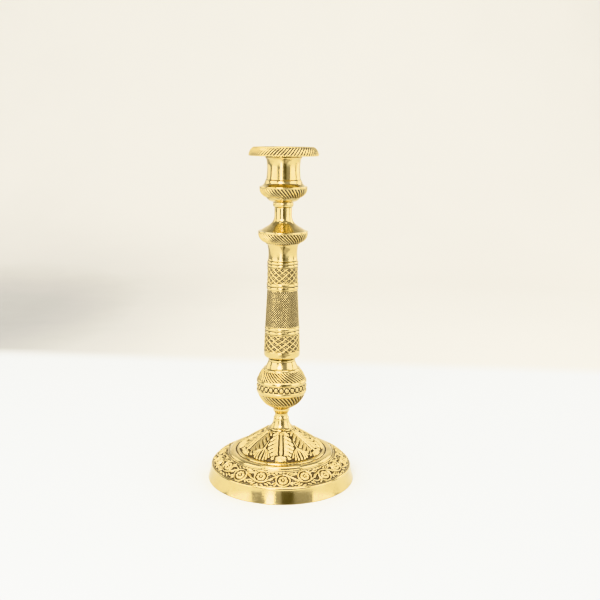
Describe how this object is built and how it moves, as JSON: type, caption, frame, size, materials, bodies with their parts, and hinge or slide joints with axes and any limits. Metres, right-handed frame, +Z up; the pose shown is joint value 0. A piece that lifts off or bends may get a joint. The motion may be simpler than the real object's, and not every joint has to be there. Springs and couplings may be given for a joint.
{
  "type": "candlestick",
  "caption": "Turned and cast brass candlestick on a round domed foot, with a tie rod through its stem and a lift-off drip pan that holds the candle.",
  "frame": {"origin": "centre of the foot's resting face", "axes": "+Z up along the stem; -Y is the side seen from the front; +X to its right"},
  "size_m": [0.1266, 0.1266, 0.2848],
  "materials": {
    "cast_brass": "cast and chased, bright on the high spots with dark brown patina in the recesses",
    "turned_brass": "turned and polished, with patina in the milled ornament",
    "iron": "dull dark iron"
  },
  "bodies": {
    "stand": {"base": "cast_brass", "stem_collar": "turned_brass", "ball_knop": "turned_brass", "shaft": "turned_brass", "shoulder_knop": "turned_brass", "candle_cup": "turned_brass", "tie_rod": "iron", "washer": "turned_brass", "square_nut": "iron"},
    "bobeche": {"bobeche": "turned_brass"}
  },
  "joints": [
    {"name": "bobeche_lift", "type": "slide", "parent": "stand", "child": "bobeche", "axis": [0, 0, 1], "range_m": [0, 0.032]}
  ]
}
